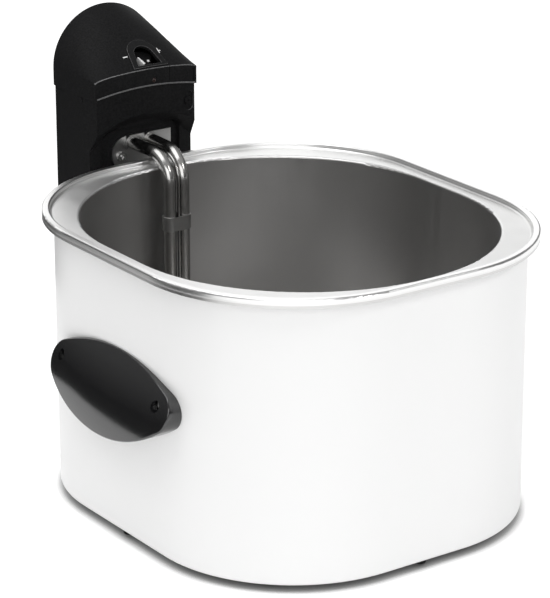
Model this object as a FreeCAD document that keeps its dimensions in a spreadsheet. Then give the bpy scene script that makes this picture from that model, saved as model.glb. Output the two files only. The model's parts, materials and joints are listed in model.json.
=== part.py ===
import FreeCAD, Part
import math
import os
from types import SimpleNamespace

import Sketcher

# Deep fryer with a lift-out pot and a lift-off control head.
# Millimetres. The pot's axis is the modelling origin, the table is z = 0, the front is -Y.
# Every node is then moved by axis_y, which puts the part's origin under the middle of its box.

SIZES = {
    "axis_y": -33.65,
    # outer housing
    "wall_half_x": 126.4, "wall_half_y": 143.6, "wall_corner": 96.0, "wall_t": 1.2,
    "wall_foot": 4.0, "wall_top": 184.0, "wall_edge": 2.5, "lip": 9.0,
    # base pan and feet
    "pan_gap": 0.4, "pan_edge": 10.0, "slot_len": 46.0, "slot_r": 2.5, "slot_pitch": 16.0,
    "foot_x": 80.0, "foot_y": 96.0, "foot_r": 10.0, "base_screw_r": 3.4,
    # pot and rim
    "rim_half_x": 134.0, "rim_half_y": 151.2, "rim_corner": 104.0,
    "rim_low": 183.0, "rim_top": 188.6, "bead": 5.0, "ledge_top": 185.3, "ledge_t": 1.0,
    "skirt_t": 1.1, "bead_t": 1.2,
    "mouth_half_x": 120.5, "mouth_half_y": 138.2, "mouth_corner": 118.0, "pot_t": 0.9,
    "pot_low": 25.0, "pot_corner": 22.0,
    # side handles
    "grip_half_len": 66.0, "grip_up": 23.3, "grip_down": 29.1, "grip_end_r": 13.0, "grip_z": 103.4,
    "grip_gap": 0.2, "grip_root": 6.0, "grip_out": 145.0, "grip_plan_r": 400.0,
    "grip_apex": 80.0, "grip_reach": 52.0, "grip_drop": 22.7,
    "grip_screw_y": 53.5, "grip_screw_z": 107.6, "grip_back_t": 3.2, "grip_face_t": 4.2,
    "grip_hollow_y": 42.0,
    # head bracket on the back wall
    "track_low": 100.0, "track_top": 166.0, "track_half": 27.0, "track_y": 160.0,
    "sheet": 1.6, "web_x": 14.0, "track_foot": 24.0,
    # control head shells
    "head_half": 39.0, "head_bulge": 2.3, "head_front": 163.0, "head_back": 212.1,
    "head_low": 92.0, "head_t": 2.6, "part_apex": 234.0, "part_rise": 4.8, "part_half": 45.0,
    "brow_top": 215.5, "brow_r": 89.0, "step_top": 208.8, "step_r": 58.0, "step_y": 170.5,
    "brow_floor": 217.0, "well_y": 174.4, "well_half": 31.5, "well_top": 206.0, "well_low": 172.0,
    "cap_front": 162.0, "cap_back": 214.5, "cap_shoulder": 242.0, "cap_rise": 4.0,
    "cap_mid_rise": 23.4, "cap_arch": 38.6, "cap_over": 1.2, "cap_t": 2.4, "cap_edge": 1.0,
    "cover_t": 2.4,
    # heating element
    "tube_r": 4.2, "leg_x": 5.3, "leg_y": 127.5, "exit_x": 7.2, "exit_z": 195.0,
    "leg_bend": 20.0, "loop_z": 42.0, "loop_pitch": 28.0, "loop_back": 94.0,
    "loop_front": -86.0, "loop_turn": 70.0, "loop_bend": 13.9, "plate_t": 1.5,
    # sensor
    "bulb_r": 3.0, "bulb_len": 84.0, "capillary_r": 0.8,
    # dial
    "slope": 35.0, "dial_x": 3.0, "dial_s": 4.0, "dial_deep": 6.0, "dial_r": 16.6,
    "window_x": 4.4, "bezel_proud": 0.9,
}

doc = FreeCAD.newDocument("deep_fryer")
sheet = doc.addObject("Spreadsheet::Sheet", "dims")
for row, (alias, size) in enumerate(SIZES.items(), 1):
    sheet.set(f"A{row}", alias)
    sheet.set(f"B{row}", str(size))
    sheet.setAlias(f"B{row}", alias)
doc.recompute()


class Dim:
    """A length that knows its number and the sheet expression that drives it."""

    def __init__(self, value, text):
        self.value = value
        self.text = text

    def join(self, sign, other, value):
        return Dim(value, f"({self.text} {sign} {other.text})")

    def __add__(self, other):
        other = dim(other)
        return self.join("+", other, self.value + other.value)

    def __sub__(self, other):
        other = dim(other)
        return self.join("-", other, self.value - other.value)

    def __mul__(self, other):
        other = dim(other)
        return self.join("*", other, self.value * other.value)

    def __truediv__(self, other):
        other = dim(other)
        return self.join("/", other, self.value / other.value)

    def __radd__(self, other):
        return dim(other) + self

    def __rsub__(self, other):
        return dim(other) - self

    def __rmul__(self, other):
        return dim(other) * self

    def __neg__(self):
        return Dim(-self.value, f"(0 - {self.text})")


def dim(size):
    """Wrap a plain number, which drives nothing, as a length."""
    return size if isinstance(size, Dim) else Dim(float(size), f"({float(size)!r})")


d = SimpleNamespace(**{alias: Dim(size, f"dims.{alias}") for alias, size in SIZES.items()})
nodes = {}

# Places on the head, as (x, z), the clip's y and z ranges, and the pilot lamp's radius.
GLAND = (0, 112)
FRONT_SCREW = (33.8, 219.0)
CLIP = (177.0, 179.6, 226.6, 229.2)
BUTTON = (20, 140)
LAMP = (6.2, 237.6)
LAMP_R = 1.6

# A round end stops a hair short of a half circle, which its two end points would over-tie.
ROUND_END = 1.0001


def bind(target, path, size):
    target.setExpression(path, dim(size).text)


def finish(label, part):
    """Name a finished node and move it from the pot's axis to the part's origin."""
    part.Label = label
    bind(part, "Placement.Base.y", d.axis_y)
    nodes[label] = part


def new_body(label):
    body = doc.addObject("PartDesign::Body", label)
    body.AllowCompound = True
    finish(label, body)
    return body


def plane(body, role, offset=0):
    """A sketch on one of the body's own planes, moved along that plane's normal."""
    sketch = body.newObject("Sketcher::SketchObject", "profile")
    support = next(item for item in body.Origin.OriginFeatures if item.Role == role)
    sketch.AttachmentSupport = [(support, "")]
    sketch.MapMode = "FlatFace"
    bind(sketch, "AttachmentOffset.Base.z", offset)
    return sketch


def level(body, z):
    return plane(body, "XY_Plane", z)


def upright(body, y):
    """A sketch that faces the front: its own x and y are X and Z, its normal is -Y."""
    return plane(body, "XZ_Plane", -dim(y))


def side(body, x):
    """A sketch that faces the side: its own x and y are Y and Z, its normal is +X."""
    return plane(body, "YZ_Plane", x)


def hold(sketch, index, point, x, y):
    """Tie one point of a sketch to its two coordinates."""
    for kind, axis, size in (("DistanceX", -2, dim(x)), ("DistanceY", -1, dim(y))):
        if size.text == "(0.0)":
            sketch.addConstraint(Sketcher.Constraint("PointOnObject", index, point, axis))
        else:
            row = sketch.addConstraint(Sketcher.Constraint(kind, -1, 1, index, point, size.value))
            bind(sketch, f"Constraints[{row}]", size)


def set_radius(sketch, index, radius):
    row = sketch.addConstraint(Sketcher.Constraint("Radius", index, abs(radius.value)))
    bind(sketch, f"Constraints[{row}]", radius if radius.value > 0 else -radius)


def arc_between(start, end, radius):
    """The short arc from start to end: a positive radius turns left, a negative one right."""
    chord = end - start
    turn = 1 if radius > 0 else -1
    height = math.sqrt(max(radius * radius - chord.Length ** 2 / 4, 0))
    normal = FreeCAD.Vector(-chord.y, chord.x, 0).normalize()
    centre = (start + end) * 0.5 + normal * (turn * height)
    first, last = (start, end) if turn > 0 else (end, start)
    angles = [math.atan2(p.y - centre.y, p.x - centre.x) for p in (first, last)]
    if angles[1] <= angles[0]:
        angles[1] += 2 * math.pi
    circle = Part.Circle(centre, FreeCAD.Vector(0, 0, 1), abs(radius))
    return Part.ArcOfCircle(circle, *angles)


def outline(sketch, corners):
    """A closed run of lines and arcs, anticlockwise.

    A corner is (x, y), or (x, y, radius) where an arc leaves it for the next corner, or
    (x, y, rise, "ellipse") where half an ellipse of that rise does.
    """
    spots = [FreeCAD.Vector(dim(c[0]).value, dim(c[1]).value, 0) for c in corners]
    edges = []
    for number, corner in enumerate(corners):
        start = spots[number]
        end = spots[(number + 1) % len(spots)]
        if len(corner) == 4:
            edges.append((sketch.addGeometry(half_ellipse(start, end, dim(corner[2]).value)), 1, 2))
        elif len(corner) == 3:
            radius = dim(corner[2])
            index = sketch.addGeometry(arc_between(start, end, radius.value))
            set_radius(sketch, index, radius)
            edges.append((index, 1, 2) if radius.value > 0 else (index, 2, 1))
        else:
            edges.append((sketch.addGeometry(Part.LineSegment(start, end)), 1, 2))
        hold(sketch, edges[-1][0], edges[-1][1], corner[0], corner[1])
    for (index, _, last), (following, first, _) in zip(edges, edges[1:] + edges[:1]):
        sketch.addConstraint(Sketcher.Constraint("Coincident", index, last, following, first))


def half_ellipse(start, end, rise):
    """Upper half of an ellipse, from its right end to its left end."""
    middle = (start + end) * 0.5
    whole = Part.Ellipse(start, middle + FreeCAD.Vector(0, rise, 0), middle)
    return Part.ArcOfEllipse(whole, 0, math.pi)


def rectangle(sketch, x0, x1, y0, y1):
    outline(sketch, [(x0, y0), (x1, y0), (x1, y1), (x0, y1)])


def rounded(sketch, half_x, half_y, corner):
    """A rectangle about the sketch's origin with round corners."""
    flat_x = half_x - corner
    flat_y = half_y - corner
    outline(sketch, [
        (-flat_x, -half_y), (flat_x, -half_y, corner), (half_x, -flat_y), (half_x, flat_y, corner),
        (flat_x, half_y), (-flat_x, half_y, corner), (-half_x, flat_y), (-half_x, -flat_y, corner)])


def circle(sketch, x, y, radius):
    spot = FreeCAD.Vector(dim(x).value, dim(y).value, 0)
    index = sketch.addGeometry(Part.Circle(spot, FreeCAD.Vector(0, 0, 1), dim(radius).value))
    set_radius(sketch, index, dim(radius))
    hold(sketch, index, 3, x, y)


def stadium(sketch, half, y, r):
    """A slot along the sketch's x axis: two straight sides and two round ends."""
    end = r * ROUND_END
    outline(sketch, [(-half, y - r), (half, y - r, end), (half, y + r), (-half, y + r, end)])


def extrude(body, kind, sketch, length, flip=False, taper=0):
    """Pad along the sketch's normal, or Pocket against it; flip turns either round."""
    feature = body.newObject(f"PartDesign::{kind}", kind.lower())
    feature.Profile = sketch
    bind(feature, "Length", length)
    feature.Reversed = flip
    if taper:
        feature.TaperAngle = taper
    return feature


def turned(body, kind, sketch, axis):
    """Revolution or Groove of a whole turn about an axis of the sketch."""
    feature = body.newObject(f"PartDesign::{kind}", kind.lower())
    feature.Profile = sketch
    feature.ReferenceAxis = (sketch, [axis])
    feature.Angle = 360
    return feature


def loft(body, kind, sketches):
    feature = body.newObject(f"PartDesign::{kind}", kind.lower())
    feature.Profile = sketches[0]
    feature.Sections = sketches[1:]
    feature.Ruled = True
    return feature


def round_edges(body, radius, pick, kind="Fillet"):
    """Fillet or chamfer those edges of the body so far that pick accepts."""
    doc.recompute()
    base = body.Tip
    names = [f"Edge{n}" for n, edge in enumerate(base.Shape.Edges, 1) if pick(edge.BoundBox)]
    feature = body.newObject(f"PartDesign::{kind}", kind.lower())
    feature.Base = (base, names)
    bind(feature, "Radius" if kind == "Fillet" else "Size", radius)
    return feature


def at_z(z, tolerance=0.01):
    height = dim(z).value
    return lambda box: abs(box.ZMin - height) < tolerance and abs(box.ZMax - height) < tolerance


# Housing


def outer_housing():
    body = new_body("outer_housing")
    shell = level(body, d.wall_foot)
    rounded(shell, d.wall_half_x, d.wall_half_y, d.wall_corner)
    extrude(body, "Pad", shell, d.wall_top - d.wall_foot)
    round_edges(body, d.wall_edge, at_z(d.wall_foot))
    inside = level(body, d.wall_top)
    rounded(inside, d.wall_half_x - d.wall_t, d.wall_half_y - d.wall_t, d.wall_corner - d.wall_t)
    extrude(body, "Pocket", inside, d.wall_top - d.wall_foot - d.wall_t)
    hole = level(body, d.wall_foot + 2 * d.wall_t)
    rounded(hole, d.wall_half_x - d.lip, d.wall_half_y - d.lip, d.wall_corner - d.lip)
    extrude(body, "Pocket", hole, 4 * d.wall_t)
    grips = side(body, 200)
    for y in (-d.grip_screw_y, d.grip_screw_y):
        circle(grips, y, d.grip_screw_z, 2.3)
    extrude(body, "Pocket", grips, 400)
    back = upright(body, d.wall_half_y - 5)
    for x, z in rivet_spots():
        circle(back, x, z, 2.0)
    extrude(body, "Pocket", back, 10)


def rivet_spots():
    return [(x, z) for x in (-19.5, 19.5) for z in (d.track_low + 12, d.track_top - 12)]


def base_pan():
    body = new_body("base_pan")
    floor = d.wall_foot + d.wall_t
    outer = d.wall_t + d.pan_gap
    tray = level(body, floor)
    rounded(tray, d.wall_half_x - outer, d.wall_half_y - outer, d.wall_corner - outer)
    extrude(body, "Pad", tray, d.pan_edge)
    inner = outer + d.wall_t
    hollow = level(body, floor + d.pan_edge)
    rounded(hollow, d.wall_half_x - inner, d.wall_half_y - inner, d.wall_corner - inner)
    extrude(body, "Pocket", hollow, d.pan_edge - d.wall_t)
    holes = level(body, floor + 2 * d.wall_t)
    for x, y in foot_spots():
        circle(holes, x, y, 3.0)
    for step in range(-2, 3):
        vent(holes, step * d.slot_pitch)
    extrude(body, "Pocket", holes, 4 * d.wall_t)


def vent(sketch, y):
    """One long cooling slot across the base."""
    stadium(sketch, d.slot_len / 2, y, d.slot_r)


def foot_spots():
    return [(sx * d.foot_x, sy * d.foot_y) for sx in (-1, 1) for sy in (-1, 1)]


def rubber_feet():
    body = new_body("rubber_feet")
    soles = level(body, 0)
    for x, y in foot_spots():
        circle(soles, x, y, d.foot_r)
    extrude(body, "Pad", soles, d.wall_foot + d.wall_t, taper=8)
    stems = level(body, d.wall_foot)
    for x, y in foot_spots():
        circle(stems, x, y, 2.9)
    extrude(body, "Pad", stems, 3 * d.wall_t)
    buttons = level(body, d.wall_foot + 2 * d.wall_t)
    for x, y in foot_spots():
        circle(buttons, x, y, 4.4)
    extrude(body, "Pad", buttons, 2.4, taper=-20)
    round_edges(body, 1.2, at_z(0))


def base_screws():
    body = new_body("base_screws")
    inset = d.lip / 2
    spots = [(0, d.wall_half_y - inset), (0, inset - d.wall_half_y),
             (d.wall_half_x - inset, 0), (inset - d.wall_half_x, 0)]
    heads = level(body, d.wall_foot)
    for x, y in spots:
        circle(heads, x, y, d.base_screw_r)
    extrude(body, "Pad", heads, 2.2, flip=True)
    round_edges(body, 1.2, at_z(d.wall_foot - 2.2))


def head_bracket():
    """Folded track that stands off the back wall, open at the top for the head to slide on."""
    body = new_body("head_bracket")
    section = level(body, d.track_low)
    wall = d.wall_half_y
    web = d.web_x + d.sheet
    outline(section, [
        (-d.track_foot, wall), (d.track_foot, wall), (d.track_foot, wall + d.sheet),
        (web, wall + d.sheet), (web, d.track_y - d.sheet), (d.track_half, d.track_y - d.sheet),
        (d.track_half, d.track_y), (-d.track_half, d.track_y),
        (-d.track_half, d.track_y - d.sheet), (-web, d.track_y - d.sheet),
        (-web, wall + d.sheet), (-d.track_foot, wall + d.sheet)])
    rectangle(section, -d.web_x, d.web_x, wall + d.sheet, d.track_y - d.sheet)
    extrude(body, "Pad", section, d.track_top - d.track_low)
    holes = upright(body, d.wall_half_y - 5)
    for x, z in rivet_spots():
        circle(holes, x, z, 2.0)
    extrude(body, "Pocket", holes, 10)
    tips = upright(body, d.wall_half_y - 5)
    for sign in (-1, 1):
        corner = [(sign * (d.track_half + 1), d.track_top - 9), (sign * (d.track_half + 1), d.track_top + 1),
                  (sign * (d.track_half - 9), d.track_top + 1)]
        outline(tips, corner if sign > 0 else corner[::-1])
    extrude(body, "Pocket", tips, 30)


def bracket_rivets():
    body = new_body("bracket_rivets")
    outside = upright(body, d.wall_half_y + d.sheet)
    shank = upright(body, d.wall_half_y + d.sheet)
    for x, z in rivet_spots():
        circle(outside, x, z, 3.2)
        circle(shank, x, z, 1.9)
    extrude(body, "Pad", outside, 1.5, flip=True, taper=-25)
    extrude(body, "Pad", shank, d.sheet + 2 * d.wall_t)
    inside = upright(body, d.wall_half_y - d.wall_t)
    for x, z in rivet_spots():
        circle(inside, x, z, 3.0)
    extrude(body, "Pad", inside, 1.2, taper=-25)


def handle(label, sign):
    """Oval grip whose face leans in to the wall at its top, open behind and below for the fingers."""
    body = new_body(label)
    wall = d.wall_half_x + d.grip_gap
    pad = side(body, sign * (wall - d.grip_root))
    grip_oval(pad)
    extrude(body, "Pad", pad, d.grip_out + 4 - wall + d.grip_root, flip=sign < 0)
    carve_face(body, sign)
    round_edges(body, 1.2, lambda box: min(abs(box.XMin), abs(box.XMax)) > wall.value + 0.2)
    sections = [hollow_section(body, sign, wall, z) for z in (60, 80, 100, 117)]
    loft(body, "SubtractiveLoft", sections)
    seat_on_wall(body)
    seats = side(body, sign * (d.grip_out + 5))
    bores = side(body, sign * (d.grip_out + 5))
    for y in (-d.grip_screw_y, d.grip_screw_y):
        circle(seats, y, d.grip_screw_z, 3.5)
        circle(bores, y, d.grip_screw_z, 2.3)
    extrude(body, "Pocket", seats, d.grip_out + 5 - wall - d.grip_back_t, flip=sign < 0)
    extrude(body, "Pocket", bores, d.grip_out, flip=sign < 0)


def carve_face(body, sign):
    """Turn the face to a barrel; its section is drawn beyond the axis, to keep the seam off the face."""
    barrel = upright(body, 0)
    axis = sign * (d.grip_out - d.grip_plan_r)
    reach, drop = d.grip_reach, d.grip_drop
    bow = (reach * reach + drop * drop) / (2 * drop)
    edge = axis - sign * (d.grip_plan_r - drop)
    clear = axis - sign * (d.grip_plan_r + 20)
    low, high = d.grip_apex - reach, d.grip_apex + reach
    corners = [(edge, high, sign * bow), (edge, low), (clear, low), (clear, high)]
    outline(barrel, corners)
    line = Part.LineSegment(FreeCAD.Vector(axis.value, 0, 0), FreeCAD.Vector(axis.value, 50, 0))
    row = barrel.addGeometry(line, True)
    hold(barrel, row, 1, axis, 0)
    hold(barrel, row, 2, axis, 50)
    turned(body, "Groove", barrel, "Axis0")


def grip_oval(sketch):
    """Oval of a flat upper arc and a deep lower arc that meet the end arcs without a kink."""
    end_r = d.grip_end_r
    reach = d.grip_half_len - end_r
    (up_y, up_z, up_r), (down_y, down_z, down_r) = (long_arc(reach, h) for h in (d.grip_up, d.grip_down))
    low, high = d.grip_z - down_z, d.grip_z + up_z
    outline(sketch, [(down_y, low, end_r), (up_y, high, up_r), (-up_y, high, end_r), (-down_y, low, down_r)])


def long_arc(reach, height):
    """End point and radius of a long arc that is tangent to both end arcs."""
    end_r = d.grip_end_r
    radius = (reach * reach + height * height - end_r * end_r) / (2 * (height - end_r))
    share = end_r / (radius - end_r)
    return reach + reach * share, (radius - height) * share, radius


def hollow_section(body, sign, wall, z):
    """Level section of the finger hollow: from the wall to the inside of the leaning face."""
    rise = z - d.grip_apex
    pocket = level(body, z)
    lean = d.grip_drop / (d.grip_reach * d.grip_reach) * rise * rise
    y = d.grip_hollow_y
    near = sign * (wall - d.grip_root - 1)
    far = sign * (d.grip_out - d.grip_face_t - lean - y * y / (2 * d.grip_plan_r))
    outline(pocket, [(near, -sign * y), (far, -sign * y, d.grip_plan_r), (far, sign * y), (near, sign * y)])
    return pocket


def seat_on_wall(body):
    """Shape the back of the grip to the housing's bowed wall."""
    wall = level(body, d.wall_foot)
    gap = d.grip_gap
    rounded(wall, d.wall_half_x + gap, d.wall_half_y + gap, d.wall_corner + gap)
    extrude(body, "Pocket", wall, d.wall_top - d.wall_foot, flip=True)


def handle_screws():
    body = new_body("handle_screws")
    for sign in (-1, 1):
        seat = d.wall_half_x + d.grip_gap + d.grip_back_t
        heads = side(body, sign * seat)
        shanks = side(body, sign * seat)
        for y in (-d.grip_screw_y, d.grip_screw_y):
            circle(heads, y, d.grip_screw_z, 3.1)
            circle(shanks, y, d.grip_screw_z, 2.0)
        extrude(body, "Pad", heads, 2.4, flip=sign < 0, taper=-15)
        extrude(body, "Pad", shanks, d.grip_back_t + d.grip_gap + 8, flip=sign > 0)


def handle_nuts():
    body = new_body("handle_nuts")
    reach, flat, bowed = 4.04, 3.5, 0.5
    for sign in (-1, 1):
        seat = side(body, sign * (d.wall_half_x - d.wall_t - bowed))
        for y in (-d.grip_screw_y, d.grip_screw_y):
            outline(seat, [(y + reach, d.grip_screw_z), (y + reach / 2, d.grip_screw_z + flat),
                           (y - reach / 2, d.grip_screw_z + flat), (y - reach, d.grip_screw_z),
                           (y - reach / 2, d.grip_screw_z - flat), (y + reach / 2, d.grip_screw_z - flat)])
            circle(seat, y, d.grip_screw_z, 2.05)
        extrude(body, "Pad", seat, 3.2, flip=sign > 0)


# Pot


def rim_outline(sketch, inset):
    rounded(sketch, d.rim_half_x - inset, d.rim_half_y - inset, d.rim_corner - inset)


def mouth_outline(sketch, grow):
    rounded(sketch, d.mouth_half_x + grow, d.mouth_half_y + grow, d.mouth_corner + grow)


def oil_pot():
    """One drawn sheet: beaded rim, stepped ledge, round mouth and a deep round-bottomed pot."""
    body = new_body("oil_pot")
    block = level(body, d.pot_low)
    mouth_outline(block, d.pot_t)
    extrude(body, "Pad", block, d.ledge_top - d.pot_low)
    round_edges(body, d.pot_corner + d.pot_t, at_z(d.pot_low))
    hollow_out(body, d.pot_t, d.ledge_top)
    under = d.ledge_top - d.ledge_t
    ledge = level(body, under)
    rim_outline(ledge, d.bead - d.bead_t)
    mouth_outline(ledge, dim(0))
    extrude(body, "Pad", ledge, d.ledge_t)
    rings = ((under, d.bead - d.bead_t, d.bead), (d.rim_top - d.bead_t, dim(0), d.bead),
             (d.rim_low, dim(0), d.skirt_t))
    for low, outer, inner in rings:
        ring = level(body, low)
        rim_outline(ring, outer)
        rim_outline(ring, inner)
        extrude(body, "Pad", ring, d.rim_top - low)
    round_edges(body, 1.1, at_z(d.rim_top))
    inside = d.mouth_half_x.value + 0.1
    round_edges(body, 1.6, lambda box: at_z(d.ledge_top)(box) and box.XMax < inside)


def hollow_out(body, thickness, top):
    """Shell the body so far, open at the given height."""
    doc.recompute()
    base = body.Tip
    names = [f"Face{n}" for n, face in enumerate(base.Shape.Faces, 1) if at_z(top)(face.BoundBox)]
    feature = body.newObject("PartDesign::Thickness", "shell")
    feature.Base = (base, names)
    bind(feature, "Value", thickness)
    feature.Reversed = True
    feature.Join = "Intersection"


# Control head shells


def head_plan(sketch, front, back, half, bulge):
    """Plan of the head: flat front and back, sides bowed outwards."""
    depth = (back - front) / 2
    bow = (depth * depth + bulge * bulge) / (2 * bulge)
    outline(sketch, [(-half, front), (half, front, bow), (half, back), (-half, back, bow)])


def above_parting(sketch, lift=0):
    """Everything over the arched line where the cap meets the case."""
    half, rise = d.part_half, d.part_rise
    foot = d.part_apex - rise + lift
    bow = (half * half + rise * rise) / (2 * rise)
    outline(sketch, [(-half, foot, -bow), (half, foot), (half, foot + 60), (-half, foot + 60)])


def brow_sketch(body, y, depth):
    """Section of the space under the brow, whose arch drops and tightens with its depth."""
    share = dim(depth) / (d.step_y - d.head_front)
    top = d.brow_top + (d.step_top - d.brow_top) * share
    r = d.brow_r + (d.step_r - d.brow_r) * share
    half = 44
    low = d.head_low - 5
    sketch = upright(body, y)
    drop = dim(half * half) / (1.7 * r)
    foot = top - drop
    bow = (drop * drop + half * half) / (2 * drop)
    outline(sketch, [(-half, low), (half, low), (half, foot, bow), (-half, foot)])
    return sketch


def well(sketch, grow):
    """The deeper well that takes the element's plate."""
    half = d.well_half + grow
    top = d.well_top + grow
    r = 7
    outline(sketch, [
        (-half, d.well_low), (half, d.well_low), (half, top - r, r), (half - r, top),
        (r - half, top, r), (-half, top - r)])


def lower_case():
    """Moulded tub of the head, with a brow over the element's exit and a docking channel."""
    body = new_body("lower_case")
    tub = level(body, d.head_low)
    head_plan(tub, d.head_front, d.head_back, d.head_half, d.head_bulge)
    extrude(body, "Pad", tub, d.part_apex - d.head_low)
    arch = upright(body, d.head_front - 10)
    above_parting(arch)
    extrude(body, "Pocket", arch, 80)
    under_brow = [brow_sketch(body, d.head_front + depth, depth) for depth in (-1, d.step_y - d.head_front)]
    loft(body, "SubtractiveLoft", under_brow)
    mouth, floor = well_sketch(body, d.head_front - 1, 1.5), well_sketch(body, d.well_y - 1, -1)
    loft(body, "SubtractiveLoft", [mouth, floor])
    lower = upright(body, d.head_back)
    inside = d.head_half - d.head_t
    rectangle(lower, -inside, inside, d.head_low + d.head_t, 260)
    extrude(body, "Pocket", lower, d.head_back - d.well_y - d.head_t, flip=True)
    upper = upright(body, d.head_back)
    rectangle(upper, -inside, inside, d.brow_floor, 260)
    extrude(body, "Pocket", upper, d.head_back - d.head_front - d.head_t, flip=True)
    docking(body)
    cover_posts(body)
    clip_seats(body)
    element_holes(body)
    screw_recess(body)
    front, half = d.head_front.value, d.head_half.value
    round_edges(body, 1.0, lambda box: box.ZLength > 8 and box.YMax < front + 0.1 and box.XLength < 0.1
                and abs(abs(box.XMin) - half) < 0.1)


def cover_posts(body):
    """Posts in the tub's corners that take the rear cover's screws."""
    posts = upright(body, d.head_back)
    pilots = upright(body, d.head_back)
    for x, z in cover_screw_spots():
        circle(posts, x, z, 4.2)
        circle(pilots, x, z, 1.65)
    extrude(body, "Pad", posts, 16)
    extrude(body, "Pocket", pilots, 10, flip=True)


def clip_seats(body):
    for sign in (-1, 1):
        seat = side(body, sign * (d.head_half + 6))
        rectangle(seat, *CLIP)
        extrude(body, "Pocket", seat, 4.8, flip=sign < 0)


def element_holes(body):
    """Holes in the well's floor for both tube ends, the capillary and the plate's screws."""
    exits = upright(body, d.well_y - 5)
    for x in (-d.exit_x, d.exit_x):
        circle(exits, x, d.exit_z, d.tube_r + 0.6)
    circle(exits, 0, d.exit_z, 1.6)
    for x, z in plate_screw_spots():
        circle(exits, x, z, 1.9)
    extrude(body, "Pocket", exits, 12)


def screw_recess(body):
    """Upright slot in the front that the case screw sits in."""
    recess = upright(body, d.head_front - 1)
    x, z = FRONT_SCREW
    r, half = 4.2, 2.6
    end = r * ROUND_END
    outline(recess, [(x - r, z - half, end), (x + r, z - half), (x + r, z + half, end), (x - r, z + half)])
    extrude(body, "Pocket", recess, 2.2)


def well_sketch(body, y, grow):
    sketch = upright(body, y)
    well(sketch, grow)
    return sketch


def docking(body):
    """Hooked cheeks that run in the bracket's track, and the shelf that lands on it."""
    cheeks = level(body, d.track_low)
    lip_in, lip_out, root = 18, 30, 37.5
    front, hook = d.track_y - 7, d.track_y - 3.5
    back = d.step_y + 1
    right = [(lip_in, front), (root, front), (root, back), (lip_out, back), (lip_out, hook), (lip_in, hook)]
    outline(cheeks, right)
    outline(cheeks, [(-x, y) for x, y in reversed(right)])
    extrude(body, "Pad", cheeks, d.track_top - d.track_low - 2)
    shelf = level(body, d.track_top + 0.3)
    rectangle(shelf, -root, root, d.track_y - 2.5, back)
    extrude(body, "Pad", shelf, 3)


def cap_section(sketch, half, rise, lift):
    """One upright section of the hood: arched foot, short sides, and half an ellipse on top."""
    foot_bow = (d.part_half * d.part_half + d.part_rise * d.part_rise) / (2 * d.part_rise)
    foot = d.part_apex + lift - half * half / (2 * foot_bow)
    outline(sketch, [(-half, foot, -foot_bow), (half, foot), (half, d.cap_shoulder, rise, "ellipse"),
                     (-half, d.cap_shoulder)])


def hood(name, grow, lift=0):
    """The hood as a plain solid, grown by a thickness: low at the front, a full arch at the back.

    The ends move by the whole thickness, so the slope between them needs only a part of it upwards.
    """
    turn = math.radians(d.slope.value)
    raised = grow * ((1 - math.sin(turn)) / math.cos(turn))
    middle = (d.cap_front + d.cap_back) / 2
    stations = [(d.cap_front - grow, d.cap_over, d.cap_rise),
                (middle, d.head_bulge + d.cap_over / 4, d.cap_mid_rise),
                (d.cap_back + grow, d.cap_over, d.cap_arch)]
    sections = []
    for y, over, rise in stations:
        sketch = doc.addObject("Sketcher::SketchObject", f"{name}_section")
        sketch.Placement.Rotation = FreeCAD.Rotation(FreeCAD.Vector(1, 0, 0), 90)
        bind(sketch, "Placement.Base.y", y)
        cap_section(sketch, d.head_half + over + grow, rise + raised, lift)
        sections.append(sketch)
    solid = doc.addObject("Part::Loft", name)
    solid.Sections = sections
    solid.Solid = True
    solid.Ruled = False
    return solid


def top_cap():
    """Hood: an arched shell cut by a slope that runs from the low fascia to the high back."""
    skin = hood("hood_block", dim(0))
    doc.recompute()
    edge = doc.addObject("Part::Fillet", "hood_edge")
    edge.Base = skin
    r = d.cap_edge.value
    edge.Edges = [(n, r, r) for n, item in enumerate(skin.Shape.Edges, 1) if on_fascia_top(item.BoundBox)]
    shell = cut("hood_shell", edge, hood("hood_inside", -d.cap_t, lift=-8))
    openings = [slope_prism("window", window_outline), lamp_bore(),
                fascia_cut("fascia_seam", 18.3, 18.7, 260), fascia_cut("fascia_panel", 28, 38.2, 241.2)]
    for number, tool in enumerate(openings):
        shell = cut(f"hood_cut_{number}", shell, tool)
    finish("top_cap", shell)


def on_fascia_top(box):
    """Whether an edge runs along the fascia's top, where the slope starts."""
    return box.YMax < d.cap_front.value + 0.1 and box.XLength > 60 and box.ZMin > d.cap_shoulder.value - 1


def lamp_bore():
    bore = doc.addObject("Part::Cylinder", "lamp_bore")
    bore.Radius = LAMP_R + 0.2
    bore.Height = 10
    bore.Placement.Rotation = FreeCAD.Rotation(FreeCAD.Vector(1, 0, 0), -90)
    bore.Placement.Base = FreeCAD.Vector(LAMP[0], 0, LAMP[1])
    bind(bore, "Placement.Base.y", d.cap_front - 5)
    return bore


def fascia_cut(name, x0, x1, top):
    """A shallow step in the hood's front band, from its foot up to a height."""
    depth, lead, foot = 0.7, 5, 220
    block = doc.addObject("Part::Box", name)
    block.Length, block.Width, block.Height = x1 - x0, lead + depth, top - foot
    block.Placement.Base = FreeCAD.Vector(x0, 0, foot)
    bind(block, "Placement.Base.y", d.cap_front - lead)
    return block


def cut(name, base, tool):
    part = doc.addObject("Part::Cut", name)
    part.Base = base
    part.Tool = tool
    return part


def slope_place(height):
    """A plane over the hood's slope: x across, y up the slope, its origin at the front edge."""
    turn = FreeCAD.Rotation(FreeCAD.Vector(1, 0, 0), d.slope.value)
    edge = FreeCAD.Vector(0, d.cap_front.value, d.cap_shoulder.value + d.cap_rise.value)
    return FreeCAD.Placement(edge + turn.multVec(FreeCAD.Vector(0, 0, height)), turn)


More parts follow.
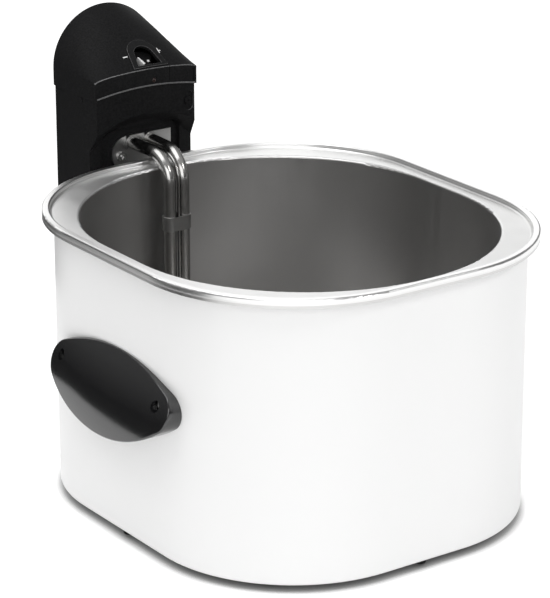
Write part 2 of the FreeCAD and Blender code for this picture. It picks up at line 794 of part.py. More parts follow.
def slope_prism(name, draw):
    """A prism through the hood, square to its slope."""
    face = doc.addObject("Sketcher::SketchObject", f"{name}_outline")
    face.Placement = slope_place(10)
    draw(face)
    prism = doc.addObject("Part::Extrusion", name)
    prism.Base = face
    prism.DirMode = "Normal"
    prism.LengthFwd = 20
    prism.Reversed = True
    prism.Solid = True
    return prism


def window_outline(sketch):
    """Round-topped window in the hood, between the slope's coordinates."""
    x, half, neck, low, high, rise = d.window_x, 9.2, 7.0, 3.0, 13.8, 5.4
    top_r = (neck * neck + rise * rise) / (2 * rise)
    outline(sketch, [(x - half, low), (x + half, low), (x + neck, high, top_r), (x - neck, high)])


def bezel_outline(sketch):
    x, half, neck, low, high, rise = d.window_x, 13.4, 11.0, 1.2, 16.5, 8.3
    top_r = (neck * neck + rise * rise) / (2 * rise)
    outline(sketch, [(x - half, low), (x + half, low), (x + neck, high, top_r), (x - neck, high)])
    window_outline(sketch)


def dial_bezel():
    """Raised frame that follows the hood's skin round the window."""
    band = doc.addObject("Part::Common", "bezel_band")
    band.Base = slope_prism("bezel", bezel_outline)
    band.Tool = hood("bezel_reach", d.bezel_proud)
    finish("dial_bezel", cut("dial_bezel", band, hood("hood_skin", dim(0))))


def rear_cover():
    """Back plate of the head with its vents, gland hole and button hole."""
    body = new_body("rear_cover")
    sheet_face = upright(body, d.head_back)
    rectangle(sheet_face, -d.head_half, d.head_half, d.head_low, d.part_apex)
    extrude(body, "Pad", sheet_face, d.cover_t, flip=True)
    arch = upright(body, d.head_back - 10)
    above_parting(arch, lift=-0.3)
    extrude(body, "Pocket", arch, 30)
    holes = upright(body, d.head_back - 5)
    circle(holes, *GLAND, 6.6)
    circle(holes, *BUTTON, 4.4)
    for x, z in cover_screw_spots():
        circle(holes, x, z, 1.9)
    for step in range(6):
        stadium(holes, 16, 176 + 7 * step, 1.5)
    extrude(body, "Pocket", holes, 20)


def cover_screw_spots():
    return [(x, z) for x in (-33, 33) for z in (100, 222)]


def cover_screws():
    body = new_body("cover_screws")
    outer = d.head_back + d.cover_t
    heads = upright(body, outer)
    shanks = upright(body, outer)
    for x, z in cover_screw_spots():
        circle(heads, x, z, 3.2)
        circle(shanks, x, z, 1.6)
    extrude(body, "Pad", heads, 1.8, flip=True, taper=-20)
    extrude(body, "Pad", shanks, d.cover_t + 8)


# Heating element


def bent_tube(label, points, bends, radius):
    """A tube along straight runs whose corners are rounded by tangent arcs."""
    path = doc.addObject("Part::Feature", f"{label}_path")
    path.Shape = bent_wire([FreeCAD.Vector(*p) for p in points], bends)
    ring = doc.addObject("Part::Circle", f"{label}_ring")
    bind(ring, "Radius", radius)
    first = path.Shape.Edges[0]
    along = FreeCAD.Rotation(FreeCAD.Vector(0, 0, 1), first.tangentAt(first.FirstParameter))
    ring.Placement = FreeCAD.Placement(first.Vertexes[0].Point, along)
    tube = doc.addObject("Part::Sweep", label)
    tube.Sections = [ring]
    tube.Spine = (path, [f"Edge{n}" for n in range(1, len(path.Shape.Edges) + 1)])
    tube.Solid = True
    finish(label, tube)
    return tube


def bent_wire(points, bends):
    edges = []
    start = points[0]
    for corner, after, bend in zip(points[1:-1], points[2:], bends):
        into = (corner - start).normalize()
        out = (after - corner).normalize()
        turn = into.getAngle(out)
        trim = bend * math.tan(turn / 2)
        first = corner - into * trim
        last = corner + out * trim
        inward = (out - into).normalize()
        middle = corner + inward * (bend / math.cos(turn / 2) - bend)
        edges.append(Part.LineSegment(start, first).toShape())
        edges.append(Part.Arc(first, middle, last).toShape())
        start = last
    edges.append(Part.LineSegment(start, points[-1]).toShape())
    return Part.Wire(edges)


def heating_element():
    """One unbroken tube: out over the rim, down the back wall and six runs along the floor."""
    leg_x, leg_y, z = d.leg_x.value, d.leg_y.value, d.loop_z.value
    pitch, back, front = d.loop_pitch.value, d.loop_back.value, d.loop_front.value
    turn, exit_x, exit_z = d.loop_turn.value, d.exit_x.value, d.exit_z.value
    small, leg = d.loop_bend.value, d.leg_bend.value
    runs = [pitch * 2.5, pitch * 1.5, pitch * 0.5]
    half = [(-exit_x, 188, exit_z), (-exit_x, 160, exit_z), (-leg_x, leg_y, exit_z),
            (-leg_x, leg_y, z), (-leg_x, back, z), (-runs[0], back, z), (-runs[0], front, z),
            (-runs[1], front, z), (-runs[1], turn, z), (-runs[2], turn, z), (-runs[2], front, z)]
    bends = [60, leg, 16] + [small] * 7
    points = half + [(-x, y, h) for x, y, h in reversed(half)]
    bent_tube("heating_element", points, bends + bends[::-1], d.tube_r)


def element_terminals():
    body = new_body("element_terminals")
    for y, radius, length in ((188.0, 3.4, 5), (193.0, 1.6, 9)):
        ends = upright(body, y)
        for x in (-d.exit_x, d.exit_x):
            circle(ends, x, d.exit_z, radius)
        extrude(body, "Pad", ends, length, flip=True)


PLATE_LEFT, PLATE_RIGHT, PLATE_TOP, PLATE_LOW = -22.0, 25.0, 199.5, 176.0


def plate_screw_spots():
    return [(-15.0, 186.0), (18.5, 186.0)]


def element_flange():
    """Plate that carries the tubes: a round lug on one end, square on the other."""
    body = new_body("element_flange")
    face = upright(body, d.well_y - 1)
    lug = (PLATE_TOP - PLATE_LOW) / 2
    outline(face, [(PLATE_LEFT + lug, PLATE_LOW), (PLATE_RIGHT, PLATE_LOW), (PLATE_RIGHT, PLATE_TOP),
                   (PLATE_LEFT + lug, PLATE_TOP, lug * ROUND_END)])
    for x in (-d.exit_x, d.exit_x):
        circle(face, x, d.exit_z, d.tube_r + 0.1)
    circle(face, 0, d.exit_z, 1.2)
    for x, z in plate_screw_spots():
        circle(face, x, z, 1.9)
    extrude(body, "Pad", face, d.plate_t)


def flange_collars():
    """Brazed rings where the two tubes leave the plate."""
    body = new_body("flange_collars")
    face = upright(body, d.well_y - 1 - d.plate_t)
    for x in (-d.exit_x, d.exit_x):
        circle(face, x, d.exit_z, d.tube_r + 1.3)
        circle(face, x, d.exit_z, d.tube_r + 0.1)
    extrude(body, "Pad", face, 3)


def flange_screws():
    body = new_body("flange_screws")
    face = d.well_y - 1 - d.plate_t
    heads = upright(body, face)
    shanks = upright(body, face)
    for x, z in plate_screw_spots():
        circle(heads, x, z, 3.5)
        circle(shanks, x, z, 1.7)
    extrude(body, "Pad", heads, 2.2, taper=-12)
    extrude(body, "Pad", shanks, 9, flip=True)


def leg_clamp():
    """Strap folded round both legs."""
    body = new_body("leg_clamp")
    band = level(body, 144.5)
    stadium(band, d.leg_x, d.leg_y, d.tube_r + 0.9)
    stadium(band, d.leg_x, d.leg_y, d.tube_r + 0.1)
    extrude(body, "Pad", band, 9.6)


def capillary_tube():
    leg_y, exit_z, bulb_z = d.leg_y.value - 3, d.exit_z.value, d.loop_z.value + 1
    end = d.bulb_len.value / 2 + 8
    points = [(0, 200, exit_z), (0, leg_y, exit_z), (0, leg_y, 70), (0, leg_y - 20, bulb_z),
              (0, end, bulb_z)]
    bent_tube("capillary_tube", points, [17, 14, 14], d.capillary_r)


def sensor_bulb():
    body = new_body("sensor_bulb")
    start = upright(body, 8 + d.bulb_len / 2)
    circle(start, 0, d.loop_z + 1, d.bulb_r)
    extrude(body, "Pad", start, d.bulb_len)
    round_edges(body, 1.2, lambda box: box.YLength < 0.01)


def bulb_clips():
    """Two spring straps that hang the bulb between the middle runs."""
    body = new_body("bulb_clips")
    run = d.loop_pitch / 2
    under = d.loop_z + d.tube_r
    top = under + 1.2
    low = d.loop_z + 1
    cradle = d.bulb_r
    for y in (-24, 34):
        strap = upright(body, y)
        outline(strap, [
            (-run - 3, under), (-cradle - 1, under), (-cradle - 1, low), (-cradle, low),
            (-cradle, under), (cradle, under), (cradle, low), (cradle + 1, low),
            (cradle + 1, under), (run + 3, under), (run + 3, top), (-run - 3, top)])
        extrude(body, "Pad", strap, 8)


def loop_support():
    """Bent strip under the runs that keeps them off the floor of the pot."""
    body = new_body("loop_support")
    end = d.loop_pitch * 2.5 + 6
    top = d.loop_z - d.tube_r
    floor = d.pot_low + d.pot_t + 0.4
    strip = upright(body, -20)
    outline(strip, [
        (-end, floor), (-end + 10, floor), (-end + 10, floor + 1.2), (-end + 1.2, floor + 1.2),
        (-end + 1.2, top - 1.2), (end - 1.2, top - 1.2), (end - 1.2, floor + 1.2), (end - 10, floor + 1.2),
        (end - 10, floor), (end, floor), (end, top), (-end, top)])
    extrude(body, "Pad", strip, 10)


# Inside the head


def slope_body(label):
    """A body whose own XY plane is the hood's slope, with its origin on the dial's axis."""
    body = new_body(label)
    body.setExpression("Placement.Base.y", None)
    place = slope_place(0)
    spot = place.multVec(FreeCAD.Vector(d.dial_x.value, d.dial_s.value, 0))
    body.Placement = FreeCAD.Placement(spot + FreeCAD.Vector(0, d.axis_y.value, 0), place.Rotation)
    return body


def temperature_dial():
    """Fan-shaped dial under the window, on the thermostat's shaft."""
    body = slope_body("temperature_dial")
    fan = level(body, -d.dial_deep)
    spread = math.radians(45)
    hub = 4.2
    x, y = math.sin(spread), math.cos(spread)
    outline(fan, [(hub * x, hub * y - 4), (d.dial_r * x, d.dial_r * y, d.dial_r),
                  (-d.dial_r * x, d.dial_r * y), (-hub * x, hub * y - 4)])
    extrude(body, "Pad", fan, 1.6, flip=True)
    boss = level(body, -d.dial_deep)
    circle(boss, 0, 0, hub)
    extrude(body, "Pad", boss, 5, flip=True)
    shaft = level(body, -d.dial_deep - 5)
    circle(shaft, 0, 0, 2.9)
    extrude(body, "Pad", shaft, 6, flip=True)


def dial_pointer():
    """Raised wedge that is pushed across the window, and the dial's dot."""
    body = slope_body("dial_pointer")
    lean = math.radians(18)
    wedge = level(body, -d.dial_deep)
    corners = [(-0.9, 2.0), (0.9, 2.0), (0.45, 8.6), (-0.45, 8.6)]
    outline(wedge, [(x * math.cos(lean) - y * math.sin(lean), x * math.sin(lean) + y * math.cos(lean))
                    for x, y in corners])
    extrude(body, "Pad", wedge, d.dial_deep - 1.4)
    dot = level(body, -d.dial_deep)
    circle(dot, 6.4, 7.0, 0.9)
    extrude(body, "Pad", dot, 0.6)


def thermostat():
    body = slope_body("thermostat")
    can = level(body, -d.dial_deep - 7)
    rectangle(can, -15, 15, -4.5, 22)
    extrude(body, "Pad", can, 13, flip=True)
    bore = level(body, -d.dial_deep - 7)
    circle(bore, 0, 0, 3.3)
    extrude(body, "Pocket", bore, 6)
    blades = level(body, -d.dial_deep - 20)
    for x in (-9, 9):
        rectangle(blades, x - 0.4, x + 0.4, 10, 16)
    extrude(body, "Pad", blades, 7, flip=True)


def slope_point(s, depth):
    """Y and Z of a point up the hood's slope and under its skin."""
    turn = math.radians(d.slope.value)
    edge = d.cap_shoulder.value + d.cap_rise.value
    return (d.cap_front.value + s * math.cos(turn) + depth * math.sin(turn),
            edge + s * math.sin(turn) - depth * math.cos(turn))


def thermostat_bracket():
    """Bent strip from the brow's floor to the underside of the thermostat."""
    body = new_body("thermostat_bracket")
    floor = d.brow_floor
    under = d.dial_deep.value + 20
    gauge, toe = 1.2, 167
    front, back = slope_point(-3.5, under), slope_point(-2.87, under + gauge)
    strip = side(body, -6)
    outline(strip, [(toe, floor), (back[0], floor), back, slope_point(13, under + gauge),
                    slope_point(13, under), front, (front[0], floor + gauge), (toe, floor + gauge)])
    extrude(body, "Pad", strip, 18)


def pilot_lamp():
    body = new_body("pilot_lamp")
    lens = upright(body, d.cap_front + 4)
    circle(lens, *LAMP, LAMP_R)
    extrude(body, "Pad", lens, 4.2)
    round_edges(body, 0.8, lambda box: box.YMax < d.cap_front.value + 0.1)
    flange = upright(body, d.cap_front + d.cap_t + 0.1)
    circle(flange, *LAMP, LAMP_R + 1)
    extrude(body, "Pad", flange, 1.5, flip=True)


def cap_clips():
    """Small spring clips that lock the hood to the case, one on each side."""
    body = new_body("cap_clips")
    for sign in (-1, 1):
        clip = side(body, sign * (d.head_half + 1.2))
        rectangle(clip, *CLIP)
        extrude(body, "Pad", clip, 1.3, flip=sign < 0)


def thermal_cutout():
    body = new_body("thermal_cutout")
    disc = upright(body, d.head_back)
    circle(disc, *BUTTON, 8.5)
    extrude(body, "Pad", disc, 10)
    rear = upright(body, d.head_back)
    circle(rear, *BUTTON, 4.5)
    extrude(body, "Pocket", rear, 7.4, flip=True)


def reset_button():
    """Pushed with a fingertip through the back plate; springs out again."""
    body = new_body("reset_button")
    cap = upright(body, d.head_back + d.cover_t + 1.2)
    circle(cap, *BUTTON, 4.0)
    extrude(body, "Pad", cap, 3.4)
    stem = upright(body, d.head_back + 0.2)
    circle(stem, *BUTTON, 2.2)
    extrude(body, "Pad", stem, 4.2)
    round_edges(body, 0.6, lambda box: box.YMin > d.head_back.value + d.cover_t.value + 1.1)


def safety_switch():
    """Switch that lets the head heat only when it is docked."""
    body = new_body("safety_switch")
    block = upright(body, d.well_y + d.head_t)
    rectangle(block, -30, -10, 118, 130)
    extrude(body, "Pad", block, 8, flip=True)
    blades = upright(body, d.well_y + d.head_t + 8)
    for x in (-27, -20, -13):
        rectangle(blades, x - 0.4, x + 0.4, 121, 127)
    extrude(body, "Pad", blades, 6, flip=True)


def terminal_block():
    body = new_body("terminal_block")
    block = upright(body, d.well_y + d.head_t)
    rectangle(block, -18, 18, 148, 162)
    extrude(body, "Pad", block, 13, flip=True)
    wells = upright(body, d.well_y + d.head_t + 13)
    for x in (-12, 0, 12):
        circle(wells, x, 155, 3.2)
    extrude(body, "Pocket", wells, 7, flip=True)


def cord_gland():
    """Bush for the mains cord in the back plate."""
    body = new_body("cord_gland")
    inner = d.head_back - 4
    sleeve = upright(body, inner)
    circle(sleeve, *GLAND, 6.3)
    circle(sleeve, *GLAND, 3.6)
    extrude(body, "Pad", sleeve, d.cover_t + 8, flip=True)
    collar = upright(body, d.head_back + d.cover_t)
    circle(collar, *GLAND, 8.6)
    circle(collar, *GLAND, 5.5)
    extrude(body, "Pad", collar, 2.2, flip=True, taper=-10)
    nut = upright(body, d.head_back)
    circle(nut, *GLAND, 8.4)
    circle(nut, *GLAND, 6.0)
    extrude(body, "Pad", nut, 3)


def case_screw():
    body = new_body("case_screw")
    face = upright(body, d.head_front + 1.2)
    circle(face, *FRONT_SCREW, 2.8)
    extrude(body, "Pad", face, 1.0, taper=-15)


PIECES = (
    outer_housing, base_pan, rubber_feet, base_screws, head_bracket, bracket_rivets,
    handle_screws, handle_nuts, oil_pot, lower_case, top_cap, dial_bezel, rear_cover, cover_screws,
    heating_element, element_terminals, element_flange, flange_collars, flange_screws,
    leg_clamp, capillary_tube, sensor_bulb, bulb_clips, loop_support, temperature_dial, dial_pointer,
    thermostat, thermostat_bracket, pilot_lamp, cap_clips, thermal_cutout, reset_button,
    safety_switch, terminal_block, cord_gland, case_screw)


def export():
    """Stop on a broken object, then write one STEP file for each node."""
    doc.recompute()
    for item in doc.Objects:
        if {"Invalid", "Error"} & set(item.State):
            raise RuntimeError(f"{item.Label}: {item.State}")
    os.makedirs("parts", exist_ok=True)
    for label, part in nodes.items():
        shape = part.Shape
        if shape.isNull() or not shape.isValid():
            raise RuntimeError(f"{label}: bad shape")
        shape.exportStep(f"parts/{label}.step")
        print(label, len(shape.Solids), round(shape.Volume / 1000, 2))


for piece in PIECES:
    piece()
handle("left_handle", -1)
handle("right_handle", 1)
export()
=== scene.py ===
import json
import math

import bmesh
import bpy
from bpy.props import FloatProperty, FloatVectorProperty, PointerProperty
from mathutils import Matrix, Vector
from mathutils.bvhtree import BVHTree

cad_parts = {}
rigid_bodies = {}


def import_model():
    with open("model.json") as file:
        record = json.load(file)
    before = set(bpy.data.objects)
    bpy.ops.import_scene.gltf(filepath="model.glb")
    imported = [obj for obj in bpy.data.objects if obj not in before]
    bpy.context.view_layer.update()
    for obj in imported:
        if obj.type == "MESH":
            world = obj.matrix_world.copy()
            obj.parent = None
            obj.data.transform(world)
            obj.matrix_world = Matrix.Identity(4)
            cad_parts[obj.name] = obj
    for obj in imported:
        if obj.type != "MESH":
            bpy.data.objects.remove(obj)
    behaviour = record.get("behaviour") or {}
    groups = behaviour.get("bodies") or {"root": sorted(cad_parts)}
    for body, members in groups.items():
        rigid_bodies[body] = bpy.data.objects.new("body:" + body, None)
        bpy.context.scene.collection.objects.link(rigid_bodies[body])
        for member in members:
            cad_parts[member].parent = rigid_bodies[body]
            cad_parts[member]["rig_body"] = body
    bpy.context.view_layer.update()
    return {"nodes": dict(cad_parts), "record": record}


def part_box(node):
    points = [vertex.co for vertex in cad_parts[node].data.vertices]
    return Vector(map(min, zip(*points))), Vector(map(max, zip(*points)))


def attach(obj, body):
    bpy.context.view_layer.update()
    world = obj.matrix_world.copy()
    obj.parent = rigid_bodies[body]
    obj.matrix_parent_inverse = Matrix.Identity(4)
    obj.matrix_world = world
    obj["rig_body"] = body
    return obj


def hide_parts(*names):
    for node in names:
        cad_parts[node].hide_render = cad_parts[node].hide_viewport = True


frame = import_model()

bl_info = {
    "name": "Deep fryer looks",
    "version": (1, 0, 0),
    "blender": (4, 5, 0),
    "location": "View3D > Sidebar > Fryer",
    "description": "Finishes and small details of a deep fryer around its CAD frame",
    "category": "Object",
}

MM = 0.001
NODES = frame["nodes"]
SLOTS = {part["node"]: part["material_slot"] for part in frame["record"]["subparts"]}
POT_LOW, POT_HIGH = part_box("oil_pot")
POT_Y = (POT_LOW.y + POT_HIGH.y) / 2

# Pot: the ledge is polished above the first height and the rim's bead above the second.
LEDGE_FOOT = POT_HIGH.z - 3.9 * MM
BEAD_FOOT = POT_HIGH.z - 2.9 * MM
STEP_BLUR = 0.1 * MM

# Copies of CAD meshes: merge distance in metres, and the angles in degrees up to which faces
# count as one, above which an edge is rounded, and up to which it is shaded smooth.
WELD = 2e-6
FLAT_ANGLE = 0.02
SHARP_ANGLE = 40
SMOOTH_ANGLE = 32
EDGE_SEGMENTS = 2

# Screw crosses: degrees from one screw's cross to the next, and the width left at the foot.
CROSS_TURN = 37
CROSS_TAPER = 0.55

# Head: reach of the ring of painted highlight round the case screw, how squarely a face has to look
# forwards to count as flat, depth and tilt of the fascia's top edge with its painted highlight, and
# the printed marks.
RING_REACH = 8.5 * MM
FLAT_FACING = 0.97
FASCIA_DEPTH = 1.2 * MM
FASCIA_TILT = (0.12, 0.7)
MINUS_PLACE = (-9.9 * MM, 172.1 * MM)
PLUS_PLACE = (16.9 * MM, 173.5 * MM)
PRINT_PARTS = 6

# Arched foot of the cap: its highest point, its radius, and the bead that follows it.
FOOT_TOP = 234.6 * MM
FOOT_BOW = 213.3 * MM
FOOT_SHARE = 0.93
BEAD_SIDES = 10
BEAD_STEPS = 40

# Stage: the floor's painted contact shade by how open it lies, two sheets of dark cloth as x and y
# from and to, the room's tone by height, and each softbox's place, aim, width and height.
FLOOR_REACH = 9
CONTACT_RAYS = 16
CONTACT_SHADE = ((0.1, 0.04), (0.5, 0.36), (0.78, 1.0))
FLAG = ((-9, -0.38, -0.1, 9), (-0.38, 0.05, 0.45, 9))
FLAG_LIFT = 1 * MM
ROOM = ((0.0, 0.06), (0.1, 0.12), (0.35, 0.3), (0.9, 0.5))
SOFTBOXES = {
    "overhead": ((-0.5, 0.1, 1.9), (0, 0, 0.1), 1.4, 1.8),
    "behind": ((0.75, 1.9, 1.1), (0, 0, 0.15), 2.2, 1.1),
    "side": ((0.7, -1.2, 1.25), (0, 0.1, 0.24), 0.35, 0.35),
    "front": ((-1.3, -2.0, 1.2), (0, 0, 0.12), 2.2, 1.6),
}

# Camera: its place before the shift to the pot, its direction and its sensor in millimetres.
CAMERA_PLACE = Vector((-993.29, -1389.42, 744.14)) * MM
CAMERA_AZIMUTH = math.radians(-35.28)
CAMERA_ELEVATION = math.radians(19.72)
SENSOR = 36


def colour(name, words, value):
    return FloatVectorProperty(name=name, description=words, default=value, min=0, max=1,
                               subtype="COLOR", size=3)


def length(name, words, value):
    return FloatProperty(name=name, description=words, default=value, min=0, unit="LENGTH",
                         subtype="DISTANCE")


def share(name, words, value):
    return FloatProperty(name=name, description=words, default=value, min=0, max=1,
                         subtype="FACTOR")


def power(name, words, value):
    return FloatProperty(name=name, description=words, default=value, min=0, unit="POWER")


def strength(name, words, value):
    return FloatProperty(name=name, description=words, default=value, min=0)


class FryerColours(bpy.types.PropertyGroup):
    """Colours of the fryer and its stage"""
    enamel: colour("Enamel", "White paint of the outer housing", (0.9, 0.9, 0.898))
    steel: colour("Pot steel", "Bare sheet of the pot", (0.64, 0.635, 0.63))
    rim: colour("Rim steel", "Polished rim and ledge of the pot", (0.86, 0.86, 0.855))
    tube: colour("Heater tube", "Heater tube before it darkens", (0.5, 0.495, 0.485))
    browned: colour("Browned tube", "Heater tube where heat has browned it", (0.5, 0.472, 0.445))
    zinc: colour("Plated sheet", "Plated brackets, plates and straps", (0.42, 0.42, 0.415))
    screw: colour("Screw steel", "Bright turned screws", (0.66, 0.66, 0.65))
    # Painted shade: near black for the screws under the base, so they read dark in the shade under
    # the body.
    blackened: colour("Shaded steel", "Screws under the base", (0.014, 0.014, 0.014))
    case: colour("Case plastic", "Black moulded plastic of the head", (0.012, 0.012, 0.0125))
    grip: colour("Grip plastic", "Black plastic of the side grips", (0.0075, 0.0075, 0.008))
    # Edge: a lighter tone for the rounded edges of the head, a painted highlight.
    edge: colour("Burnished edge", "Moulded edges painted to a shine", (0.11, 0.11, 0.112))
    bezel: colour("Bezel plastic", "Frame round the dial window", (0.008, 0.008, 0.0085))
    inner: colour("Inner plastic", "Pale moulded works in the head", (0.52, 0.47, 0.4))
    rubber: colour("Foot rubber", "Feet under the base", (0.018, 0.018, 0.018))
    lens: colour("Lamp lens", "Dark red lens of the lamp", (0.022, 0.011, 0.01))
    mark: colour("Marks", "Printed and moulded white marks", (0.83, 0.83, 0.82))
    button: colour("Button", "Red reset button", (0.42, 0.03, 0.02))
    floor: colour("Floor", "Studio floor", (0.94, 0.94, 0.94))
    flag: colour("Dark cloth", "Cloth that the gloss mirrors", (0.01, 0.01, 0.01))


class FryerSizes(bpy.types.PropertyGroup):
    """Sizes of the small details, the lights and the lens"""
    edge: length("Moulded edge", "Rounding of the plastic edges", 0.45 * MM)
    lip: length("Cap edge", "Rounding of the cap's edges", 0.8 * MM)
    bead: length("Cap bead", "Radius of the bead along the cap's foot", 0.6 * MM)
    crisp: length("Sheet edge", "Rounding of sheet metal edges", 0.15 * MM)
    cross_length: share("Cross length", "Screw cross, as a share of the head", 0.6)
    cross_width: share("Cross width", "Cross arm, as a share of the head", 0.13)
    cross_depth: length("Cross depth", "Depth of a screw's cross", 0.9 * MM)
    mark_width: length("Mark width", "Stroke of the plus and minus marks", 0.7 * MM)
    mark_length: length("Mark length", "Length of the plus and minus marks", 3.6 * MM)
    print_lift: length("Print thickness", "How far printed marks stand proud", 0.06 * MM)
    overhead: power("Overhead light", "Power of the overhead softbox", 15)
    behind: power("Back light", "Power of the softbox behind", 9)
    side: power("Side light", "Power of the softbox on the right", 3.6)
    front: power("Front light", "Power of the softbox by the camera", 20)
    room: strength("Room light", "Strength of the room's light", 0.85)
    glow: strength("Floor glow", "Light that the floor gives off", 0.42)
    contact: length("Contact shade", "How far from the body the floor is shaded", 11 * MM)
    lens: FloatProperty(name="Lens", description="Focal length of the camera", default=172.8,
                        min=1, unit="CAMERA")


def colours():
    return bpy.context.scene.fryer_colours


def sizes():
    return bpy.context.scene.fryer_sizes


# Finishes


def fill_ramp(band, stops):
    """Set a colour ramp's stops, each a position and a colour."""
    while len(band.elements) < len(stops):
        band.elements.new(0.5)
    for element, (position, tone) in zip(band.elements, stops):
        element.position = position
        element.color = (*tone, 1)


def shade(base, factor):
    return tuple(min(channel * factor, 1.0) for channel in base)


class Finish:
    """A material under construction: a principled shader and short ways to feed it."""

    def __init__(self, name, base, metallic=0.0, roughness=0.5):
        self.material = bpy.data.materials.new(name)
        self.material.use_nodes = True
        self.tree = self.material.node_tree
        self.shader = next(node for node in self.tree.nodes if node.type == "BSDF_PRINCIPLED")
        self.place = self.add("ShaderNodeTexCoord").outputs["Object"]
        self.set("Base Color", (*base, 1))
        self.set("Metallic", metallic)
        self.set("Roughness", roughness)
        self.material.diffuse_color = (*base, 1)

    def add(self, kind, **values):
        node = self.tree.nodes.new(kind)
        for key, value in values.items():
            setattr(node, key, value)
        return node

    def join(self, source, target):
        self.tree.links.new(source, target)

    def set(self, socket, value):
        self.shader.inputs[socket].default_value = value

    def feed(self, source, socket):
        self.join(source, self.shader.inputs[socket])

    def noise(self, scale, detail, stretch=(1, 1, 1)):
        mapping = self.add("ShaderNodeMapping")
        mapping.inputs["Scale"].default_value = stretch
        self.join(self.place, mapping.inputs["Vector"])
        texture = self.add("ShaderNodeTexNoise")
        texture.inputs["Scale"].default_value = scale
        texture.inputs["Detail"].default_value = detail
        self.join(mapping.outputs["Vector"], texture.inputs["Vector"])
        return texture.outputs[0]

    def spread(self, value, low, high, start=0.3, stop=0.7):
        """A value of the pattern turned into a range of numbers."""
        node = self.add("ShaderNodeMapRange")
        sockets = ("From Min", "From Max", "To Min", "To Max")
        for socket, number in zip(sockets, (start, stop, low, high)):
            node.inputs[socket].default_value = number
        self.join(value, node.inputs["Value"])
        return node.outputs["Result"]

    def ramp(self, value, *stops):
        node = self.add("ShaderNodeValToRGB")
        fill_ramp(node.color_ramp, stops)
        self.join(value, node.inputs["Fac"])
        return node.outputs["Color"]

    def above(self, height):
        """1 above a height and 0 below it."""
        split = self.add("ShaderNodeSeparateXYZ")
        self.join(self.place, split.inputs["Vector"])
        return self.spread(split.outputs["Z"], 0, 1, height - STEP_BLUR, height + STEP_BLUR)

    def mix(self, part, low, high):
        """One number or the other, by a share from 0 to 1."""
        node = self.add("ShaderNodeMix", data_type="FLOAT")
        for socket, source in zip((0, 2, 3), (part, low, high)):
            self.join(source, node.inputs[socket])
        return node.outputs[0]

    def blend(self, part, low, high):
        """One colour or the other, by a share from 0 to 1."""
        node = self.add("ShaderNodeMix", data_type="RGBA")
        for socket, source in zip((0, 6, 7), (part, low, high)):
            self.join(source, node.inputs[socket])
        return node.outputs[2]

    def bump(self, *heights):
        """Bumps laid over each other, as (pattern, depth in metres, strength)."""
        normal = None
        for pattern, depth, weight in heights:
            node = self.add("ShaderNodeBump")
            node.inputs["Distance"].default_value = depth
            node.inputs["Strength"].default_value = weight
            self.join(pattern, node.inputs["Height"])
            if normal is not None:
                self.join(normal, node.inputs["Normal"])
            normal = node.outputs["Normal"]
        self.feed(normal, "Normal")

    def tint(self, pattern, *stops):
        self.feed(self.ramp(pattern, *stops), "Base Color")

    def gloss(self, pattern, low, high):
        self.feed(self.spread(pattern, low, high), "Roughness")


def enamel():
    """Stoved white paint: a hint of orange peel and a gloss that is not quite even."""
    base = colours().enamel
    finish = Finish("white_enamel", base)
    finish.tint(finish.noise(5, 3), (0.3, shade(base, 0.994)), (0.7, base))
    finish.gloss(finish.noise(22, 3), 0.285, 0.33)
    finish.bump((finish.noise(260, 2), 0.01 * MM, 0.06))
    return finish.material


def pot_steel():
    """Satin sheet with fine upright brushing, and a ledge and rim bead that are brighter."""
    base, bright = colours().steel, colours().rim
    finish = Finish("pot_steel", base, metallic=1.0)
    brushed = finish.noise(800, 3, stretch=(1, 1, 0.03))
    mottle = finish.noise(60, 5)
    rim = finish.above(LEDGE_FOOT)
    wall_tone = finish.ramp(finish.noise(7, 3), (0.3, shade(base, 0.97)), (0.7, shade(base, 1.03)))
    rim_tone = finish.ramp(mottle, (0.3, shade(bright, 0.985)), (0.7, shade(bright, 1.01)))
    finish.feed(finish.blend(rim, wall_tone, rim_tone), "Base Color")
    wall, ledge = finish.spread(brushed, 0.29, 0.37), finish.spread(mottle, 0.4, 0.46)
    bead = finish.spread(mottle, 0.285, 0.3)
    rolled = finish.mix(finish.above(BEAD_FOOT), ledge, bead)
    finish.feed(finish.mix(rim, wall, rolled), "Roughness")
    finish.bump((brushed, 0.004 * MM, 0.1))
    return finish.material


def tube_steel():
    """Heater tube, slightly browned and scuffed in patches."""
    base = colours().tube
    finish = Finish("tube_steel", base, metallic=1.0)
    heat = finish.noise(22, 5)
    finish.tint(heat, (0.28, shade(base, 0.75)), (0.5, base), (0.72, colours().browned))
    finish.gloss(finish.noise(240, 4), 0.15, 0.26)
    finish.bump((finish.noise(500, 2), 0.01 * MM, 0.08))
    return finish.material


def plated_sheet():
    """Plated sheet with rolling grain and dull patches."""
    base = colours().zinc
    finish = Finish("plated_sheet", base, metallic=1.0)
    grain = finish.noise(260, 5, stretch=(1, 1, 0.15))
    finish.tint(finish.noise(45, 4), (0.3, shade(base, 0.93)), (0.7, shade(base, 1.05)))
    finish.gloss(grain, 0.285, 0.36)
    finish.bump((grain, 0.01 * MM, 0.08))
    return finish.material


def screw_steel():
    """Bright turned steel."""
    base = colours().screw
    finish = Finish("screw_steel", base, metallic=1.0)
    finish.tint(finish.noise(500, 3), (0.3, shade(base, 0.9)), (0.7, shade(base, 1.05)))
    finish.gloss(finish.noise(900, 3), 0.14, 0.26)
    finish.bump((finish.noise(2400, 2), 0.02 * MM, 0.25))
    return finish.material


def lamp_lens():
    """Dark red lens that is off."""
    finish = Finish("lamp_lens", colours().lens)
    facets = finish.noise(1600, 1)
    finish.tint(facets, (0.35, (0.016, 0.009, 0.008)), (0.65, (0.03, 0.014, 0.012)))
    finish.gloss(finish.noise(400, 3), 0.1, 0.2)
    finish.bump((facets, 0.05 * MM, 0.3))
    return finish.material


